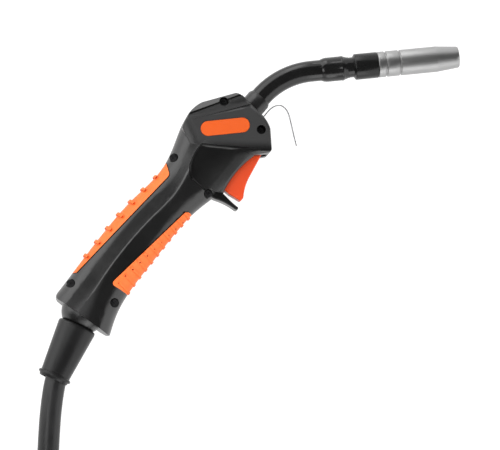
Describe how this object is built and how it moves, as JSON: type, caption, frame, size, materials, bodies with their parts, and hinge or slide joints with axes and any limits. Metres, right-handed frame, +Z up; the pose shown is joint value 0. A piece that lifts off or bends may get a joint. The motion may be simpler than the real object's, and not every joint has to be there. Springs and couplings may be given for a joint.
{
  "type": "mig welding torch",
  "caption": "Gas-cooled MIG welding torch with a bent neck, ribbed two-part handle, pull trigger, ball-jointed cable, and a coiled lead with a central connector.",
  "frame": {"origin": "On the surface that the torch lies on, under the middle of the torch's box, measured without the free cable, its coil and its connector", "axes": "The torch lies on its side. +X runs from the cable's end of the handle to the nozzle's side, +Y across the torch towards the head's back, +Z up, square to the plane in which the neck is bent"},
  "size_m": [0.3257, 0.5773, 0.052],
  "materials": {
    "black_plastic": "fine satin moulding texture",
    "orange_grip": "soft matt rubber",
    "badge_orange": "smooth and glossy",
    "trigger_red": "satin",
    "screw_black": "blackened",
    "pin_steel": "ground",
    "spring_steel": "drawn wire",
    "switch_grey": "plain moulding",
    "neck_black": "smooth and glossy",
    "neck_copper": "drawn tube",
    "liner_steel": "wound wire, plain",
    "collar_black": "plain moulding",
    "brass": "machined",
    "sleeve_black": "hard moulded insulator",
    "tip_copper": "machined",
    "diffuser_white": "unglazed",
    "nozzle_nickel": "turned and plated",
    "bush_steel": "rolled",
    "boot_rubber": "matt",
    "cable_rubber": "smooth matt sheath",
    "tie_fabric": "woven strap",
    "seal_rubber": "smooth"
  },
  "bodies": {
    "cable_side": {"ball_knuckle": "black_plastic", "strain_boot": "boot_rubber", "inner_cable": "cable_rubber", "cable_lead": "cable_rubber", "cable_coil": "cable_rubber", "coil_ties": "tie_fabric", "plug_boot": "boot_rubber", "plug_shell_screws": "screw_black", "plug_upper_shell": "black_plastic", "plug_lower_shell": "black_plastic", "plug_body": "brass", "plug_pipe": "brass", "plug_seal": "seal_rubber", "left_pin_spring": "spring_steel", "right_pin_spring": "spring_steel"},
    "handle": {"back_grip_pad": "orange_grip", "front_grip_pad": "orange_grip", "near_badge": "badge_orange", "far_badge": "badge_orange", "hanger_hook": "pin_steel", "near_shell": "black_plastic", "far_shell": "black_plastic", "shell_screws": "screw_black", "trigger_pin": "pin_steel", "trigger_spring": "spring_steel", "switch_body": "switch_grey", "switch_pins": "pin_steel", "neck_cover": "neck_black", "neck_core": "neck_copper", "wire_liner": "liner_steel", "neck_collar": "collar_black", "neck_nut": "brass", "cable_crimp": "brass", "front_insulator": "sleeve_black", "tip_holder": "brass", "contact_tip": "tip_copper", "gas_diffuser": "diffuser_white"},
    "trigger": {"trigger": "trigger_red"},
    "switch_button": {"switch_button": "switch_grey"},
    "nozzle": {"gas_nozzle": "nozzle_nickel", "nozzle_bush": "bush_steel"},
    "plug_nut": {"plug_nut": "black_plastic"},
    "left_contact_pin": {"left_contact_pin": "brass"},
    "right_contact_pin": {"right_contact_pin": "brass"}
  },
  "joints": [
    {"name": "handle_swivel", "type": "hinge", "parent": "cable_side", "child": "handle", "pos_m": [-0.1274, -0.075, 0.0201], "axis": [0, 0, 1], "range_deg": [-9, 30], "deforming": ["inner_cable"]},
    {"name": "trigger_pull", "type": "hinge", "parent": "handle", "child": "trigger", "pos_m": [-0.0034, 0.04864, 0.0201], "axis": [0, 0, -1], "range_deg": [0, 7], "stiffness_Nm_per_rad": 0.9, "springref_deg": -8.59, "deforming": ["trigger_spring"]},
    {"name": "switch_press", "type": "slide", "parent": "handle", "child": "switch_button", "axis": [-0.7627, 0.6468, 0], "range_m": [0, 0.0028]},
    {"name": "nozzle_pull_off", "type": "slide", "parent": "handle", "child": "nozzle", "axis": [0.994, 0.1097, 0], "range_m": [0, 0.066]},
    {"name": "plug_nut_turn", "type": "hinge", "parent": "cable_side", "child": "plug_nut", "pos_m": [0.0909, -0.42, 0.0264], "axis": [1, 0, 0], "continuous": true},
    {"name": "left_pin_press", "type": "slide", "parent": "cable_side", "child": "left_contact_pin", "axis": [-1, 0, 0], "range_m": [0, 0.003], "stiffness_N_per_m": 400, "springref_m": -0.002, "deforming": ["left_pin_spring"]},
    {"name": "right_pin_press", "type": "slide", "parent": "cable_side", "child": "right_contact_pin", "axis": [-1, 0, 0], "range_m": [0, 0.003], "stiffness_N_per_m": 400, "springref_m": -0.002, "deforming": ["right_pin_spring"]}
  ],
  "couplings": [
    {"joint": "switch_press", "follows": "trigger_pull", "m_per_rad": 0.0215}
  ]
}
